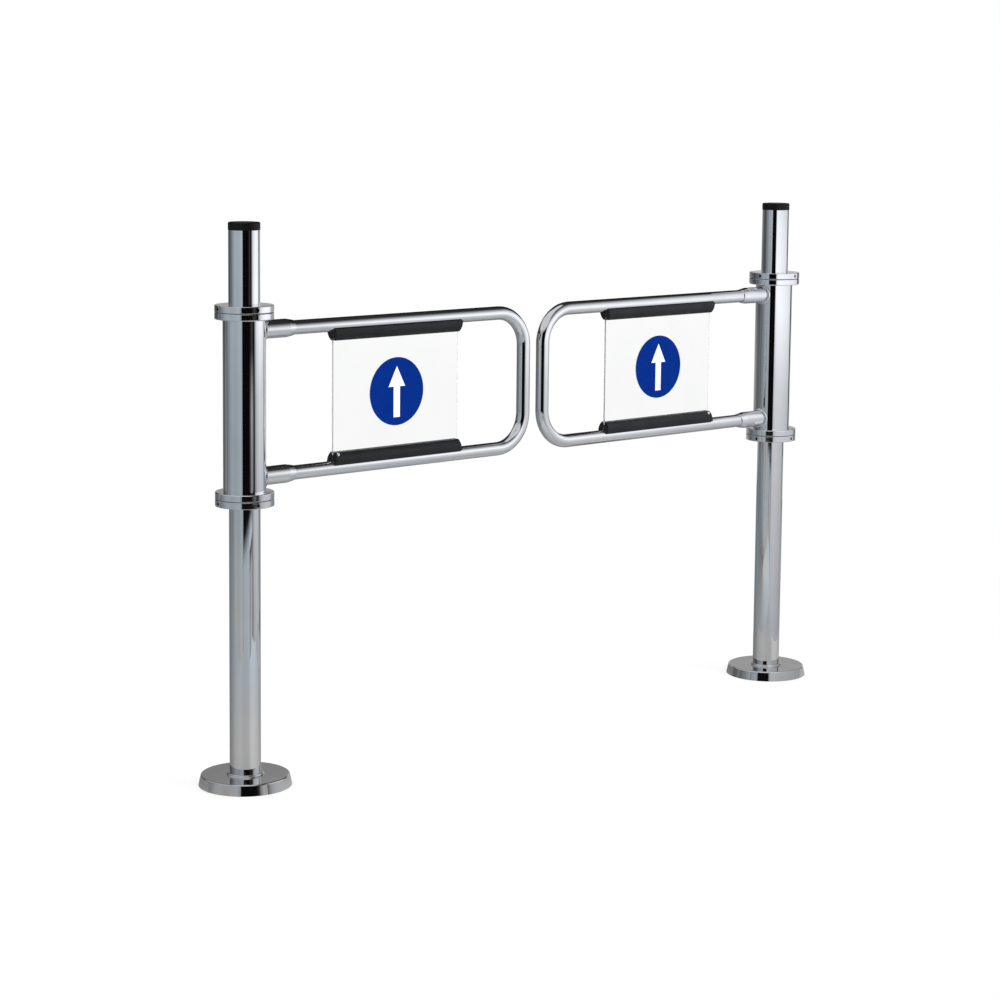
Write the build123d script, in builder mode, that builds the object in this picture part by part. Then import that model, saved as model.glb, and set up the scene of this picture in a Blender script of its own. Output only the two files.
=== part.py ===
from build123d import *
from math import sqrt
import os

# A pair of one-way swing gates: two floor-fixed posts, each with a sprung sleeve that carries a tubular gate.
# Origin on the floor midway between the posts, +X along the post line, +Z up. People walk towards +Y.
# Every left piece is built about the left post's axis, and the right ones are its mirror images.

# Driving dimensions, in millimetres
post_spacing = 1468.8  # between the two post axes
total_height = 1084.0  # floor to the top of a cap
upper_rail_height = 878.4  # centre of the gate's upper tube
lower_rail_height = 596.6  # centre of the gate's lower tube
upper_collar_top = 928.0
lower_collar_bottom = 544.7

# Post and foot
post_radius = 30.0
post_wall = 2.0
plate_radius = 75.0
plate_thickness = 8.0
anchor_circle_radius = 58.0
anchor_hole_radius = 5.5  # M10 floor anchors
lead_hole_radius = 15.0  # for a lead that comes up from the floor
spigot_height = 30.0
cover_base_radius = 90.0
cover_top_radius = 85.4
cover_height = 21.0
cover_wall = 1.2
cover_edge_round = 3.0
lip_radius = 35.4  # raised bead where the cover meets the post
lip_rise = 4.0
lip_round = 1.9
cap_radius = 30.6
cap_height = 14.8
cap_plug_depth = 18.0
cap_edge_round = 2.4
cap_skin = 3.0

# Collars, flanges and bushes
disc_radius = 56.35
disc_height = 13.0
disc_gap = 1.0  # dark groove between a collar and its flange
disc_round = 1.0
shoulder_round = 2.0
bush_bore_radius = 30.05  # running fit on the post
bush_radius = 34.0
bush_lip_radius = 54.0
bush_lip_clearance = 0.1
close_fit = 0.05  # radial gap where one piece locates in another
hub_height = 20.0

# Sleeve and its internals
sleeve_radius = 41.0
sleeve_wall = 2.0
ring_height = 16.0
ring_radius = 38.0
wire_radius = 2.5
coil_radius = 34.2
coil_pitch = 6.0
coil_turns = 9
coil_start_height = 660.0
coil_to_ring = 1.0
tang_depth = 12.0
tang_clearance = 0.15
driver_bore_radius = 30.6

# Grub screws, stop and counting sensor
grub_radius = 3.0
grub_length = 7.5
grub_socket_radius = 1.7
grub_socket_depth = 3.0
grub_angles = [-8, 82, 172, 262]
ring_grub_angles = [90, 270]
stop_pin_radius = 3.0
stop_pin_circle = 48.0
stop_pin_angle = 225.0
stop_pin_depth = 8.0
stop_pin_reach = 9.0
stop_slot_depth = 8.5
stop_clearance = 0.3
opening_angle = 90.0
sensor_height = 800.0
switch_angle = 180.0
switch_width = 10.0
switch_length = 24.0
switch_face_radius = 35.0
magnet_angle = 135.0
magnet_radius = 4.0
magnet_thickness = 2.5
magnet_face_radius = 36.2

# Gate frame, measured from the post axis
tube_radius = 14.0
tube_wall = 1.5
tube_start = 55.0
end_tube_distance = 707.5
bend_radius = 71.0
socket_radius = 18.0
socket_cylinder_end = 96.0
socket_end = 111.0
socket_lip_radius = 15.4

# Panel, clamps and sign
panel_start = 210.0
panel_end = 527.0
panel_thickness = 4.0
panel_edge_depth = 17.0  # rail centre to the panel's edge
clamp_start = 207.0
clamp_end = 530.0
clamp_slant = 4.0
clamp_half_width = 15.4
clamp_lip = 8.0  # rail centre to the clamp's lips
clamp_shoulder = 15.0
clamp_crest = 31.0
clamp_crest_half_width = 7.5
clamp_slot_floor = 16.5
slot_clearance = 0.05
screw_inset = 9.0  # from a clamp's end
screw_level = 26.3  # from the rail centre
screw_seat = 10.0  # from the gate's mid plane
screw_radius = 2.0
screw_head_radius = 3.8
screw_head_height = 2.2
screw_reach = 8.0
screw_clearance = 0.1
sign_distance = 368.5
sign_height = 736.5
sign_radius = 68.3
sign_thickness = 0.4
arrow_thickness = 0.2
arrow_tip = 0.74  # the arrow's outline, as shares of the sign's radius
arrow_head_base = 0.14
arrow_foot = -0.76
arrow_head_half_width = 0.31
arrow_shaft_half_width = 0.118

# Worked out from the driving dimensions
post_x = -post_spacing / 2
post_axis = Axis((post_x, 0, 0), (0, 0, 1))
post_section = Plane(origin=(post_x, 0, 0), x_dir=(1, 0, 0), z_dir=(0, -1, 0))
tube_top = total_height - cap_height
lower_collar_top = lower_collar_bottom + disc_height
lower_flange_bottom = lower_collar_top + disc_gap
sleeve_bottom = lower_flange_bottom + disc_height
upper_collar_bottom = upper_collar_top - disc_height
upper_flange_top = upper_collar_bottom - disc_gap
sleeve_top = upper_flange_top - disc_height
sleeve_bore_radius = sleeve_radius - sleeve_wall
coil_end_height = coil_start_height + coil_pitch * coil_turns
anchor_ring_top = coil_start_height - wire_radius - coil_to_ring
driver_ring_bottom = coil_end_height + wire_radius + coil_to_ring
stop_slot_half_width = stop_pin_radius + stop_clearance
# Centre line of the curved slot, swept back through the opening angle from the stop pin
stop_arc = CenterArc((0, 0), stop_pin_circle, stop_pin_angle - opening_angle, opening_angle)

os.makedirs("parts", exist_ok=True)


def post_level(height):
    """Level plane centred on the left post's axis."""
    return Plane(origin=(post_x, 0, height))


def facing_out(angle, height):
    """Upright plane through the post's axis whose normal points out at this angle."""
    outward = Vector(1, 0, 0).rotate(Axis.Z, angle)
    return Plane(origin=(post_x, 0, height), x_dir=(0, 0, 1), z_dir=outward)


def rail_section(distance, rail_height, toward_panel):
    """Plane square to a rail, its local +Y pointing from the rail towards the panel."""
    across = (0, toward_panel, 0)
    return Plane(origin=(post_x + distance, 0, rail_height), x_dir=across, z_dir=(1, 0, 0))


def anchor_plate():
    """Floor plate with four anchor holes and the spigot that the post stands over."""
    with BuildPart() as plate:
        with BuildSketch(post_level(0)):
            Circle(plate_radius)
            Circle(lead_hole_radius, mode=Mode.SUBTRACT)
            with PolarLocations(anchor_circle_radius, 4, start_angle=45):
                Circle(anchor_hole_radius, mode=Mode.SUBTRACT)
        extrude(amount=plate_thickness)
        chamfer(plate.edges().group_by(Axis.Z)[-1].sort_by(SortBy.LENGTH)[-1], length=1.0)
        with BuildSketch(post_level(plate_thickness)):
            Circle(post_radius - post_wall - close_fit)
            Circle(lead_hole_radius + post_wall, mode=Mode.SUBTRACT)
        extrude(amount=spigot_height)
    return plate.part


def base_cover():
    """Pressed rosette over the plate and its anchors."""
    inner_radius = post_radius + 2 * close_fit
    with BuildPart() as cover:
        with BuildSketch(post_section):
            with BuildLine():
                outer = FilletPolyline(
                    (cover_base_radius, 0),
                    (cover_top_radius, cover_height),
                    (lip_radius + 2 * lip_round, cover_height),
                    radius=cover_edge_round,
                )
                bead = FilletPolyline(
                    outer @ 1,
                    (lip_radius, cover_height),
                    (lip_radius, cover_height + lip_rise),
                    (inner_radius, cover_height + lip_rise),
                    radius=lip_round,
                )
                inner = FilletPolyline(
                    (cover_base_radius - cover_wall, 0),
                    (cover_top_radius - cover_wall, cover_height - cover_wall),
                    (inner_radius, cover_height - cover_wall),
                    radius=cover_edge_round - cover_wall,
                )
                Line(outer @ 0, inner @ 0)
                Line(bead @ 1, inner @ 1)
            make_face()
        revolve(axis=post_axis)
    return cover.part


def post_tube():
    """Upright tube, from the plate to the cap."""
    with BuildPart() as tube:
        with BuildSketch(post_level(plate_thickness)):
            Circle(post_radius)
            Circle(post_radius - post_wall, mode=Mode.SUBTRACT)
        extrude(amount=tube_top - plate_thickness)
    return tube.part


def post_cap():
    """Moulded cap with a hollow plug in the top of the post."""
    plug_radius = post_radius - post_wall - close_fit
    with BuildPart() as cap:
        with BuildSketch(post_level(tube_top)):
            Circle(cap_radius)
        extrude(amount=cap_height)
        fillet(cap.edges().sort_by(Axis.Z)[-1], radius=cap_edge_round)
        with BuildSketch(post_level(tube_top - cap_plug_depth)):
            Circle(plug_radius)
        extrude(amount=cap_plug_depth)
        with BuildSketch(post_level(tube_top - cap_plug_depth)):
            Circle(plug_radius - cap_skin)
        extrude(amount=cap_plug_depth + cap_height - cap_skin, mode=Mode.SUBTRACT)
    return cap.part


def fixed_collar(bottom, has_stop_pin):
    """Collar locked to the post by four radial grub screws; the lower one also holds the stop pin."""
    with BuildPart() as collar:
        with BuildSketch(post_level(bottom)):
            Circle(disc_radius)
            Circle(bush_bore_radius, mode=Mode.SUBTRACT)
        extrude(amount=disc_height)
        rim = collar.faces().filter_by(GeomType.CYLINDER).sort_by(SortBy.AREA)[-1]
        fillet(rim.edges().filter_by(GeomType.CIRCLE), radius=disc_round)
        for angle in grub_angles:
            with BuildSketch(facing_out(angle, bottom + disc_height / 2)):
                Circle(grub_radius + close_fit)
            extrude(amount=disc_radius + disc_round, mode=Mode.SUBTRACT)
        if has_stop_pin:
            with BuildSketch(post_level(bottom + disc_height)):
                with PolarLocations(stop_pin_circle, 1, start_angle=stop_pin_angle):
                    Circle(stop_pin_radius)
            extrude(amount=-stop_pin_depth, mode=Mode.SUBTRACT)
    return collar.part


def stop_pin():
    """Dowel that stands up from the lower collar into the flange's curved slot."""
    with BuildPart() as pin:
        with BuildSketch(post_level(lower_collar_top - stop_pin_depth)):
            with PolarLocations(stop_pin_circle, 1, start_angle=stop_pin_angle):
                Circle(stop_pin_radius)
        extrude(amount=stop_pin_depth + stop_pin_reach)
        chamfer(pin.edges().sort_by(Axis.Z)[-1], length=0.6)
    return pin.part


def grub_screws():
    """Identical set screws with hexagon sockets: four in each collar and two in the spring's anchor ring."""
    levels = [(lower_collar_bottom + disc_height / 2, grub_angles)]
    levels.append((upper_collar_bottom + disc_height / 2, grub_angles))
    levels.append((anchor_ring_top - ring_height / 2, ring_grub_angles))
    with BuildPart() as screws:
        for height, angles in levels:
            for angle in angles:
                seat = facing_out(angle, height).offset(bush_bore_radius)
                with BuildSketch(seat):
                    Circle(grub_radius)
                extrude(amount=grub_length)
                with BuildSketch(seat.offset(grub_length)):
                    RegularPolygon(grub_socket_radius, 6)
                extrude(amount=-grub_socket_depth, mode=Mode.SUBTRACT)
    return screws.part


def bush(flange_face, lip_direction, has_stop_slot):
    """Flanged bearing bush pressed in a sleeve flange; its lip is the dark groove beside the collar."""
    lip = disc_gap - bush_lip_clearance
    with BuildPart() as sleeve_bush:
        with BuildSketch(post_level(flange_face)):
            Circle(bush_radius)
            Circle(bush_bore_radius, mode=Mode.SUBTRACT)
        extrude(amount=-lip_direction * (disc_height + hub_height))
        with BuildSketch(post_level(flange_face)):
            Circle(bush_lip_radius)
            Circle(bush_bore_radius, mode=Mode.SUBTRACT)
        extrude(amount=lip_direction * lip)
        if has_stop_slot:
            with BuildSketch(post_level(flange_face)):
                SlotArc(stop_arc, height=2 * stop_slot_half_width)
            extrude(amount=lip_direction * lip, mode=Mode.SUBTRACT)
    return sleeve_bush.part


def sleeve_flange(face, inward, has_stop_slot):
    """Turned end piece: a disc on the sleeve's end and a hub inside it that holds the bush."""
    bore = bush_radius + close_fit
    shoulder_height = face + inward * disc_height
    with BuildPart() as flange:
        with BuildSketch(post_level(face)):
            Circle(disc_radius)
        extrude(amount=inward * disc_height)
        fillet(flange.edges().sort_by(Axis.Z, reverse=inward < 0)[-1], radius=shoulder_round)
        fillet(flange.edges().sort_by(Axis.Z, reverse=inward < 0)[0], radius=disc_round)
        with BuildSketch(post_level(shoulder_height)):
            Circle(sleeve_bore_radius - close_fit)
        extrude(amount=inward * hub_height)
        with BuildSketch(post_level(face)):
            Circle(bore)
        extrude(amount=inward * (disc_height + hub_height), mode=Mode.SUBTRACT)
        if has_stop_slot:
            with BuildSketch(post_level(face)):
                SlotArc(stop_arc, height=2 * stop_slot_half_width)
            extrude(amount=inward * stop_slot_depth, mode=Mode.SUBTRACT)
    return flange.part


def gate_sleeve():
    """Outer tube that turns about the post between the two flanges."""
    with BuildPart() as sleeve:
        with BuildSketch(post_level(sleeve_bottom)):
            Circle(sleeve_radius)
            Circle(sleeve_bore_radius, mode=Mode.SUBTRACT)
        extrude(amount=sleeve_top - sleeve_bottom)
    return sleeve.part


def spring_ring(bottom, inner_radius, outer_radius, tang_up, grub_holes):
    """Ring with a hole for one tang of the return spring."""
    with BuildPart() as ring:
        with BuildSketch(post_level(bottom)):
            Circle(outer_radius)
            Circle(inner_radius, mode=Mode.SUBTRACT)
        extrude(amount=ring_height)
        mouth = bottom + (0 if tang_up else ring_height)
        with BuildSketch(post_level(mouth)):
            with Locations((coil_radius, 0)):
                Circle(wire_radius + tang_clearance)
        extrude(amount=(tang_depth + 1) * (1 if tang_up else -1), mode=Mode.SUBTRACT)
        for angle in grub_holes:
            with BuildSketch(facing_out(angle, bottom + ring_height / 2)):
                Circle(grub_radius + close_fit)
            extrude(amount=outer_radius + 1, mode=Mode.SUBTRACT)
    return ring.part


def return_spring():
    """Torsion coil that winds tighter as the gate opens, with an upright tang at each end."""
    coil_foot = (post_x, 0, coil_start_height)
    with BuildPart() as spring:
        with BuildLine():
            coil = Helix(coil_pitch, coil_pitch * coil_turns, coil_radius, center=coil_foot)
        with BuildSketch(Plane(origin=coil @ 0, z_dir=coil % 0)):
            Circle(wire_radius)
        sweep(path=coil)
        ring_gap = wire_radius + coil_to_ring
        with Locations(coil @ 0, coil @ 1):
            Sphere(wire_radius)
        with BuildSketch(post_level(coil_start_height)):
            with Locations((coil_radius, 0)):
                Circle(wire_radius)
        extrude(amount=-(ring_gap + tang_depth))
        with BuildSketch(post_level(coil_end_height)):
            with Locations((coil_radius, 0)):
                Circle(wire_radius)
        extrude(amount=ring_gap + tang_depth)
    return spring.part


def count_switch():
    """Sealed reed switch bonded to the post, which the gate's magnet passes at half opening."""
    with BuildPart() as switch:
        with BuildSketch(facing_out(switch_angle, sensor_height)):
            Rectangle(switch_length, switch_width)
        extrude(amount=switch_face_radius)
        fillet(switch.faces().filter_by(GeomType.PLANE).sort_by(Axis.X)[0].edges(), radius=1.0)
        with BuildSketch(post_level(sensor_height - switch_length)):
            Circle(post_radius + close_fit)
        extrude(amount=2 * switch_length, mode=Mode.SUBTRACT)
    return switch.part


def count_magnet():
    """Disc magnet bonded inside the sleeve at the switch's height."""
    with BuildPart() as magnet:
        with BuildSketch(facing_out(magnet_angle, sensor_height).offset(magnet_face_radius)):
            Circle(magnet_radius)
        extrude(amount=magnet_thickness)
    return magnet.part


def tube_socket(rail_height):
    """Tapered socket welded to the sleeve, which holds one end of the gate's tube."""
    rail_axis = Axis((post_x, 0, rail_height), (1, 0, 0))
    with BuildPart() as socket:
        with BuildSketch(post_section):
            with BuildLine():
                Polyline(
                    (0, rail_height),
                    (0, rail_height + socket_radius),
                    (socket_cylinder_end, rail_height + socket_radius),
                    (socket_end, rail_height + socket_lip_radius),
                    (socket_end, rail_height + tube_radius + close_fit),
                    (tube_start - 1, rail_height + tube_radius + close_fit),
                    (tube_start - 1, rail_height),
                    close=True,
                )
            make_face()
        revolve(axis=rail_axis)
        with BuildSketch(post_level(rail_height - 2 * socket_radius)):
            Circle(sleeve_radius)
        extrude(amount=4 * socket_radius, mode=Mode.SUBTRACT)
    return socket.part


def gate_frame():
    """One tube bent into a U lying on its side, open towards the post."""
    with BuildPart() as frame:
        with BuildLine(post_section):
            route = FilletPolyline(
                (tube_start, upper_rail_height),
                (end_tube_distance, upper_rail_height),
                (end_tube_distance, lower_rail_height),
                (tube_start, lower_rail_height),
                radius=bend_radius,
            )
        with BuildSketch(Plane(origin=route @ 0, z_dir=route % 0)):
            Circle(tube_radius)
            Circle(tube_radius - tube_wall, mode=Mode.SUBTRACT)
        sweep(path=route)
    return frame.part


def screw_planes(level):
    """Planes on the two screw seats, their normals pointing out: entry side near the post, exit side far from it."""
    near = Vector(post_x + clamp_start + screw_inset, -screw_seat, level)
    far = Vector(post_x + clamp_end - screw_inset, screw_seat, level)
    return [
        Plane(origin=near, x_dir=(1, 0, 0), z_dir=(0, -1, 0)),
        Plane(origin=far, x_dir=(-1, 0, 0), z_dir=(0, 1, 0)),
    ]


def panel_clamp(rail_height, toward_panel, has_screws):
    """Moulded strip, a saddle on the rail with a slot for the panel's edge and slanted ends."""
    saddle = tube_radius + close_fit
    slot_half = panel_thickness / 2 + slot_clearance
    lip_inner = sqrt(saddle**2 - clamp_lip**2)
    with BuildPart() as clamp:
        with BuildSketch(rail_section(clamp_start, rail_height, toward_panel)):
            with BuildLine():
                Line((lip_inner, clamp_lip), (clamp_half_width, clamp_lip))
                Line((clamp_half_width, clamp_lip), (clamp_half_width, clamp_shoulder))
                shoulder = TangentArc(
                    (clamp_half_width, clamp_shoulder), (clamp_crest_half_width, clamp_crest), tangent=(0, 1)
                )
                Polyline(shoulder @ 1, (slot_half, clamp_crest), (slot_half, clamp_slot_floor), (0, clamp_slot_floor))
                mirror(about=Plane.YZ)
                ThreePointArc((lip_inner, clamp_lip), (0, saddle), (-lip_inner, clamp_lip))
            make_face()
        extrude(amount=clamp_end - clamp_start)
        with BuildSketch(post_section):
            with BuildLine():
                Polyline(
                    (clamp_start, rail_height + toward_panel * clamp_lip),
                    (clamp_end, rail_height + toward_panel * clamp_lip),
                    (clamp_end - clamp_slant, rail_height + toward_panel * clamp_crest),
                    (clamp_start + clamp_slant, rail_height + toward_panel * clamp_crest),
                    close=True,
                )
            make_face()
        extrude(amount=clamp_half_width + 1, both=True, mode=Mode.INTERSECT)
        if has_screws:
            for seat in screw_planes(rail_height + toward_panel * screw_level):
                with BuildSketch(seat):
                    Circle(screw_head_radius + 2 * screw_clearance)
                extrude(amount=clamp_half_width, mode=Mode.SUBTRACT)
                with BuildSketch(seat):
                    Circle(screw_radius + screw_clearance)
                extrude(amount=-(screw_seat + screw_reach + 1), mode=Mode.SUBTRACT)
    return clamp.part


def clamp_screws():
    """Two domed screws through the lower clamp and the panel, one from each side."""
    with BuildPart() as screws:
        for seat in screw_planes(lower_rail_height + screw_level):
            with BuildPart(seat) as screw:
                Cylinder(screw_head_radius, screw_head_height, align=(Align.CENTER, Align.CENTER, Align.MIN))
                fillet(screw.edges().group_by(Axis(seat.origin, seat.z_dir))[-1], radius=screw_head_height * 0.8)
                Cylinder(screw_radius, screw_seat + screw_reach, align=(Align.CENTER, Align.CENTER, Align.MAX))
    return screws.part


def panel():
    """Clear sheet held between the two clamps."""
    bottom = lower_rail_height + panel_edge_depth
    top = upper_rail_height - panel_edge_depth
    with BuildPart() as sheet:
        with BuildSketch(post_section.offset(-panel_thickness / 2)):
            with Locations(((panel_start + panel_end) / 2, (bottom + top) / 2)):
                Rectangle(panel_end - panel_start, top - bottom)
        extrude(amount=panel_thickness)
        for seat in screw_planes(lower_rail_height + screw_level):
            with BuildSketch(seat):
                Circle(screw_radius + screw_clearance)
            extrude(amount=-2 * screw_seat, mode=Mode.SUBTRACT)
    return sheet.part


def sign_disc():
    """Round label on the panel's entry side."""
    with BuildPart() as disc:
        with BuildSketch(post_section.offset(panel_thickness / 2)):
            with Locations((sign_distance, sign_height)):
                Circle(sign_radius)
        extrude(amount=sign_thickness)
    return disc.part


def sign_arrow():
    """Straight-on arrow laid over the label."""
    outline = [
        (0, arrow_tip),
        (arrow_head_half_width, arrow_head_base),
        (arrow_shaft_half_width, arrow_head_base),
        (arrow_shaft_half_width, arrow_foot),
        (-arrow_shaft_half_width, arrow_foot),
        (-arrow_shaft_half_width, arrow_head_base),
        (-arrow_head_half_width, arrow_head_base),
    ]
    points = [(sign_distance + sign_radius * across, sign_height + sign_radius * up) for across, up in outline]
    with BuildPart() as arrow:
        with BuildSketch(post_section.offset(panel_thickness / 2 + sign_thickness)):
            with BuildLine():
                Polyline(*points, close=True)
            make_face()
        extrude(amount=arrow_thickness)
    return arrow.part


def mirrored(piece):
    """The same piece on the right post."""
    with BuildPart() as right_piece:
        mirror(piece, about=Plane.YZ)
    return right_piece.part


def write(piece, name):
    piece.label = name
    export_step(piece, f"parts/{name}.step")


pieces = {
    "anchor_plate": anchor_plate(),
    "base_cover": base_cover(),
    "post_tube": post_tube(),
    "post_cap": post_cap(),
    "lower_collar": fixed_collar(lower_collar_bottom, True),
    "upper_collar": fixed_collar(upper_collar_bottom, False),
    "grub_screws": grub_screws(),
    "stop_pin": stop_pin(),
    "spring_anchor": spring_ring(
        anchor_ring_top - ring_height, bush_bore_radius, ring_radius, False, ring_grub_angles
    ),
    "return_spring": return_spring(),
    "spring_driver": spring_ring(
        driver_ring_bottom, driver_bore_radius, sleeve_bore_radius - close_fit, True, []
    ),
    "count_switch": count_switch(),
    "count_magnet": count_magnet(),
    "lower_bush": bush(lower_flange_bottom, -1, True),
    "upper_bush": bush(upper_flange_top, 1, False),
    "gate_sleeve": gate_sleeve(),
    "lower_flange": sleeve_flange(lower_flange_bottom, 1, True),
    "upper_flange": sleeve_flange(upper_flange_top, -1, False),
    "lower_socket": tube_socket(lower_rail_height),
    "upper_socket": tube_socket(upper_rail_height),
    "gate_frame": gate_frame(),
    "lower_clamp": panel_clamp(lower_rail_height, 1, True),
    "upper_clamp": panel_clamp(upper_rail_height, -1, False),
    "clamp_screws": clamp_screws(),
    "panel": panel(),
    "sign_disc": sign_disc(),
    "sign_arrow": sign_arrow(),
}
for name, piece in pieces.items():
    write(piece, f"left_{name}")
    write(mirrored(piece), f"right_{name}")
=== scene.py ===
import math
import bpy
import numpy as np
from mathutils import Matrix, Vector


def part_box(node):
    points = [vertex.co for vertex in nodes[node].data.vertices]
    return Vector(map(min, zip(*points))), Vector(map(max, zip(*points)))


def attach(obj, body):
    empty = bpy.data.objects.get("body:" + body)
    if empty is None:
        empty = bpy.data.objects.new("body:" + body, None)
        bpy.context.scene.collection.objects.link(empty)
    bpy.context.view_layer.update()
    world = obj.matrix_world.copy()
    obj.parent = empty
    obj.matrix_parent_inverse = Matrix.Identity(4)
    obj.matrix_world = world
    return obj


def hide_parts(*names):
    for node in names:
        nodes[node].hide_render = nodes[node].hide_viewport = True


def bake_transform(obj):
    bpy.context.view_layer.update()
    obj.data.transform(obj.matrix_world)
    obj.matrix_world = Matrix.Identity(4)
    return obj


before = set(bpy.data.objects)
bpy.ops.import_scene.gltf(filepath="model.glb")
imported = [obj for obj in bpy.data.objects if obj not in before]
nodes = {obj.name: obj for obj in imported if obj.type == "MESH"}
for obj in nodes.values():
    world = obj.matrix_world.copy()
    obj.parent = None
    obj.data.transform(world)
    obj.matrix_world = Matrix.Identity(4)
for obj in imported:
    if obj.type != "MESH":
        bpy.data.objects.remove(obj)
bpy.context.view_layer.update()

# a pair of one-way swing gates on floor posts, all bright chrome, with clear panels
# lengths in metres, the origin on the floor midway between the posts, the walk goes along +Y
sides = {"left": 1, "right": -1}  # the way that side's gate reaches along X
print("frame:", len(nodes), "nodes")


# angles in degrees: yaw from +Y towards +X, pitch downwards; the lens in millimetres
cameraSet = {"place": (-3.4856, -3.8718, 1.3488), "yaw": 41.245, "pitch": 6.751, "roll": 0.558,
             "lens": 90.456, "shiftUp": -0.12}


def makeCamera(shot):
    # forward from yaw and pitch, right level and square to it, then both sides rolled about forward
    yaw, pitch, roll = (math.radians(shot[angle]) for angle in ("yaw", "pitch", "roll"))
    forward = Vector((math.sin(yaw) * math.cos(pitch), math.cos(yaw) * math.cos(pitch), -math.sin(pitch)))
    right = Vector((math.cos(yaw), -math.sin(yaw), 0))
    up = right.cross(forward)
    rolledRight = right * math.cos(roll) + up * math.sin(roll)
    rolledUp = up * math.cos(roll) - right * math.sin(roll)
    camera = bpy.data.objects.new("camera", bpy.data.cameras.new("camera"))
    turn = Matrix((rolledRight, rolledUp, -forward)).transposed()
    camera.matrix_world = Matrix.Translation(shot["place"]) @ turn.to_4x4()
    camera.data.lens = shot["lens"]
    camera.data.shift_y = shot["shiftUp"]
    bpy.context.scene.collection.objects.link(camera)
    bpy.context.scene.camera = camera


makeCamera(cameraSet)
print("camera: done")


def feed(tree, node, ins):
    # each input is joined to another node's output, or set where a plain value is given
    for name, value in ins.items():
        if isinstance(value, bpy.types.NodeSocket):
            tree.links.new(value, node.inputs[name])
        else:
            node.inputs[name].default_value = value


def put(tree, kind, props=None, ins=None):
    # one node with its settings and its inputs
    node = tree.nodes.new(kind)
    for name, value in (props or {}).items():
        setattr(node, name, value)
    feed(tree, node, ins or {})
    return node


def calc(tree, operation, *terms):
    # one operation on numbers
    return put(tree, "ShaderNodeMath", {"operation": operation}, dict(enumerate(terms))).outputs[0]


def spread(tree, value, low, high, toLow=0.0, toHigh=1.0):
    # value from low to high comes out from toLow to toHigh, eased at both ends
    return put(tree, "ShaderNodeMapRange", {"interpolation_type": "SMOOTHSTEP"},
               {"Value": value, "From Min": low, "From Max": high,
                "To Min": toLow, "To Max": toHigh}).outputs[0]


def mixColour(tree, share, first, second, blend="MIX"):
    # the first colour where share is 0, the second where it is 1
    return put(tree, "ShaderNodeMix", {"data_type": "RGBA", "blend_type": blend},
               {0: share, 6: first, 7: second}).outputs[2]


def noise(tree, vector, scale, detail=3.0, rough=0.55, stretch=None):
    # soft noise from 0 to 1, drawn out along the axes where stretch is under 1
    if stretch:
        vector = put(tree, "ShaderNodeMapping", None, {"Vector": vector, "Scale": stretch}).outputs[0]
    return put(tree, "ShaderNodeTexNoise", None,
               {"Vector": vector, "Scale": scale, "Detail": detail, "Roughness": rough}).outputs[0]


def grey(level):
    # an even grey as a full colour
    return (level, level, level, 1.0)


def newGroup(name, ins, outs):
    # an empty node group with named number inputs (a None start is a vector) and outputs
    tree = bpy.data.node_groups.new(name, "ShaderNodeTree")
    for key, start in ins.items():
        kind = "NodeSocketVector" if start is None else "NodeSocketFloat"
        socket = tree.interface.new_socket(name=key, in_out="INPUT", socket_type=kind)
        if start is not None:
            socket.default_value = start
    for key in outs:
        tree.interface.new_socket(name=key, in_out="OUTPUT", socket_type="NodeSocketFloat")
    return tree, tree.nodes.new("NodeGroupInput").outputs, tree.nodes.new("NodeGroupOutput")


def finishGroup(tree, end, results):
    # the group's results go to its outputs of the same names
    feed(tree, end, results)
    return tree


def useGroup(tree, group, **ins):
    # one use of a group, as its outputs
    return put(tree, "ShaderNodeGroup", {"node_tree": group}, ins).outputs


# below, a range is (from low, from high) or (from low, from high, to low, to high), as spread takes it
smudgeSet = {"finer": 5.0, "drawn": (1.0, 1.0, 0.45), "bareEdge": 0.75, "edgeDrop": 0.45,
             "under": 0.1, "over": 0.12, "streaks": (0.35, 0.7, 0.45, 1.0)}


def makeSmudges(look):
    # hand smears: big soft patches of noise above an edge that drops as the cover grows, broken up by
    # streaks of finer noise; a mask from 0 to 1
    tree, given, end = newGroup("smudges", {"Vector": None, "Size": 0.06, "Cover": 0.4}, ["Mask"])
    scale = calc(tree, "DIVIDE", 1.0, given["Size"])
    patches = noise(tree, given["Vector"], scale, 2.0, 0.5)
    finer = calc(tree, "MULTIPLY", scale, look["finer"])
    streaks = noise(tree, given["Vector"], finer, 4.0, 0.6, look["drawn"])
    edge = calc(tree, "SUBTRACT", look["bareEdge"], calc(tree, "MULTIPLY", given["Cover"], look["edgeDrop"]))
    body = spread(tree, patches, calc(tree, "SUBTRACT", edge, look["under"]),
                  calc(tree, "ADD", edge, look["over"]))
    broken = calc(tree, "MULTIPLY", body, spread(tree, streaks, *look["streaks"]))
    return finishGroup(tree, end, {"Mask": broken})


# runs are each direction's turn in radians and its density, tilts the share of that turn about each axis
scratchSet = {"runs": [(0.35, 1.0), (-0.8, 0.8), (1.35, 1.2)], "tilts": (0.6, 1.0, 1.3),
              "drawn": (40.0, 900.0, 900.0), "thin": 0.012,
              "patchScale": 23.0, "patches": (0.42, 0.66, 0.1, 1.0)}


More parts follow.
